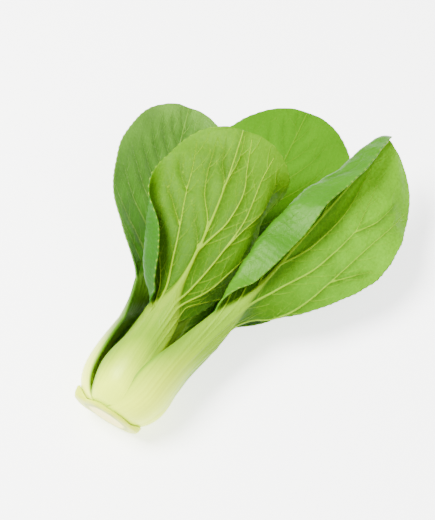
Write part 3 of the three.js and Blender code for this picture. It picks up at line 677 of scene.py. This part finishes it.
leaf_low_left = {
    "turn": -132, "rise": 3, "root": 13.8, "length": 154, "neck": 66, "width": 25, "widest": 0.56,
    "base": 1, "tip": 2, "stalk_thickness": 4.8, "wave": 0.7, "fold_band": 0.3, "seed": 15,
    "stalk": [[0, 12], [22, 15.5], [45, 11], [66, 8]],
    "lean": [[0, 62], [11, 24], [24, 0], [45, -4], [80, 10], [154, 13]],
    "sway": [[60, 0], [90, -2]],
    "roll": [[60, 0], [100, -40]],
    "left": {"cup": [[0, 56], [24, 54], [60, 40], [90, 15], [154, 12]]},
    "right": {"cup": [[0, 56], [24, 54], [60, 40], [90, 15], [154, 12]]},
    "veins": even_veins, "puff": 0.6, "slow": 0.6, "relief": 0.3, "step": 0.8, "columns": 36,
}
grow_leaf("leaf_low_left", leaf_low_left, left_outer, left_inner)

leaf_low_right = {
    "turn": 104, "rise": 2.8, "root": 13.8, "length": 166, "neck": 66, "width": 27, "widest": 0.56,
    "base": 1, "tip": 2, "stalk_thickness": 4.8, "wave": 0.8, "fold_band": 0.3, "seed": 16,
    "stalk": [[0, 12], [22, 16.5], [45, 11], [66, 8.5]],
    "lean": [[0, 66], [12, 28], [25, 0], [45, -5], [70, 10], [110, 14], [166, 10]],
    "sway": [[0, 0], [48, 2], [80, 14], [166, 10]],
    "roll": [[50, 0], [95, 66], [166, 68]],
    "left": {"cup": [[0, 62], [24, 62], [60, 40], [90, 15]]},
    "right": {"cup": [[0, 56], [24, 56], [60, 40], [90, 15]]},
    "veins": even_veins, "puff": 0.7, "slow": 0.9, "relief": 0.3, "step": 0.8, "columns": 36,
}
grow_leaf("leaf_low_right", leaf_low_right, right_outer, right_inner)

# Inner leaves: three young, still narrow leaves that stand inside the bulb. They are thinner than the
# outer ones and grow from the upper end of the stem.

young_outer = leaf_skin("young_leaf_underside", {
    **shaded_stalk, "low": "#45750a",
    "blade": "#4f8010", "tip": "#558510", "shade": "#3c6907", "vein": "#6c9420",
    "glow": 0.3, "net": 0.1, "strong": 0.8,
}, 0.45, 0.2, 0.8)
young_inner = leaf_skin("young_leaf_upperside", {
    **shaded_stalk, "low": "#427307",
    "blade": "#487c0a", "tip": "#4b7f0d", "shade": "#386903", "vein": "#5f8d12",
    "glow": 0.3, "net": 0.08, "strong": 0.8,
}, 0.38, 0.3, 0.8)
young_veins = [([[u, side * v] for u, v in keys], size) for side in (-1, 1) for keys, size in (
    ([[-0.2, 0.12], [0.05, 0.16], [0.3, 0.55], [0.5, 0.85]], 0.5),
    ([[0.15, 0], [0.4, 0.3], [0.7, 0.6]], 0.5), ([[0.4, 0], [0.65, 0.24], [0.85, 0.4]], 0.4),
)]
inner_leaf_left = {
    "turn": -30, "rise": 9.5, "root": 8.5, "length": 120, "neck": 56, "width": 19, "widest": 0.56,
    "base": 1, "tip": 2, "stalk_thickness": 3.4, "wave": 0.6, "fold_band": 0.3, "seed": 17,
    "stalk": [[0, 7], [20, 9.5], [40, 7], [56, 6]],
    "lean": [[0, 50], [10, 20], [20, 4], [45, -4], [80, -2], [120, 2]],
    "sway": [[0, 0], [60, 1], [120, -2]],
    "left": {"cup": [[0, 50], [24, 44], [120, 50]]},
    "right": {"cup": [[0, 50], [24, 44], [120, 50]]},
    "veins": young_veins, "puff": 0.4, "slow": 0.3, "relief": 0.2, "step": 0.8, "columns": 26,
}
inner_leaf_under = {
    "turn": 172, "rise": 9.5, "root": 8.5, "length": 108, "neck": 54, "width": 14.5, "widest": 0.56,
    "base": 1, "tip": 2, "stalk_thickness": 3.4, "wave": 0.6, "fold_band": 0.3, "seed": 18,
    "stalk": [[0, 7], [20, 10], [40, 8], [54, 6.5]],
    "lean": [[0, 50], [10, 20], [20, 4], [45, 0], [80, 0], [108, 2]],
    "sway": [[30, 0], [60, 6], [108, 4]],
    "left": {"cup": [[0, 50], [24, 40], [108, 30]]},
    "right": {"cup": [[0, 50], [24, 40], [108, 30]]},
    "veins": young_veins, "puff": 0.4, "slow": 0.3, "relief": 0.2, "step": 0.8, "columns": 22,
}
inner_leaf_right = {
    "turn": 45, "rise": 9.5, "root": 8.5, "length": 92, "neck": 50, "width": 15, "widest": 0.56,
    "base": 1, "tip": 2, "stalk_thickness": 3, "wave": 0.5, "fold_band": 0.3, "seed": 19,
    "stalk": [[0, 6], [20, 8], [50, 6]],
    "lean": [[0, 50], [10, 20], [20, 0], [45, -6], [92, -8]],
    "sway": [[0, 0], [30, 2], [50, 8], [92, 8]],
    "left": {"cup": [[0, 50], [24, 44], [92, 60]]},
    "right": {"cup": [[0, 50], [24, 44], [92, 60]]},
    "veins": young_veins, "puff": 0.4, "slow": 0.3, "relief": 0.2, "step": 0.8, "columns": 22,
}
for young_name, young in (("inner_leaf_left", inner_leaf_left), ("inner_leaf_under", inner_leaf_under),
                          ("inner_leaf_right", inner_leaf_right)):
    grow_leaf(young_name, young, young_outer, young_inner)

# Heart leaf: the smallest one, still curled up at the middle of the head, where it grows from the
# stem's tip.

heart_leaf = {
    "turn": -92, "rise": 12, "root": 3.2, "length": 72, "neck": 44, "width": 10, "widest": 0.56,
    "base": 1, "tip": 2, "stalk_thickness": 2.4, "wave": 0.3, "fold_band": 0.3, "seed": 20,
    "stalk": [[0, 4], [20, 6], [44, 5]],
    "lean": [[0, 20], [12, 4], [72, 0]],
    "left": {"cup": [[0, 50], [72, 50]]},
    "right": {"cup": [[0, 50], [72, 50]]},
    "veins": young_veins, "puff": 0.3, "slow": 0.2, "relief": 0.15, "step": 0.8, "columns": 18,
}
grow_leaf("heart_leaf", heart_leaf, young_outer, young_inner)

# Studio: a plain white table under two soft lights, a strong one above to the left and a weak one to
# the right, in a white surround. The camera looks down at the angle of the photograph.

bpy.ops.object.select_all(action="DESELECT")
bpy.ops.mesh.primitive_plane_add(size=6, location=(0, 0, -0.0002))
table = bpy.context.object
table.name = "table"
# Painted board, matt: it glows a little, so that it stays pale and its shadows soft
white_board = new_material("white_board")
board = add_node(white_board, "BsdfPrincipled", {
    "Base Color": hexa("#fafaf8"), "Roughness": 0.7,
    "Emission Color": (1, 1, 1, 1), "Emission Strength": 2.3})
add_node(white_board, "OutputMaterial", {"Surface": board.outputs[0]})
table.data.materials.append(white_board)

world = bpy.data.worlds.new("white_surround")
bpy.context.scene.world = world
world.use_nodes = True
world.node_tree.nodes["Background"].inputs["Color"].default_value = (1, 1, 1, 1)
world.node_tree.nodes["Background"].inputs["Strength"].default_value = 0.6


def soft_light(name, place, size, power):
    """A round lamp that faces the middle of the head."""
    lamp = bpy.data.lights.new(name, "AREA")
    lamp.shape, lamp.size, lamp.energy = "DISK", size, power
    holder = bpy.data.objects.new(name, lamp)
    bpy.context.scene.collection.objects.link(holder)
    holder.location = place
    direction = holder.location - Vector((0, 0, 0.03))
    holder.rotation_euler = direction.to_track_quat("Z", "Y").to_euler()


soft_light("key", (-0.42, -0.22, 0.95), 0.5, 46)
soft_light("fill", (0.6, 0.0, 0.8), 0.8, 7)

camera = bpy.data.objects.new("camera", bpy.data.cameras.new("camera"))
bpy.context.scene.collection.objects.link(camera)
camera.data.lens = 111.0
camera.location = (0.21913, -0.33588, 0.78840)
camera.rotation_euler = (math.radians(27.4306), math.radians(1.5491), math.radians(31.0653))
bpy.context.scene.camera = camera
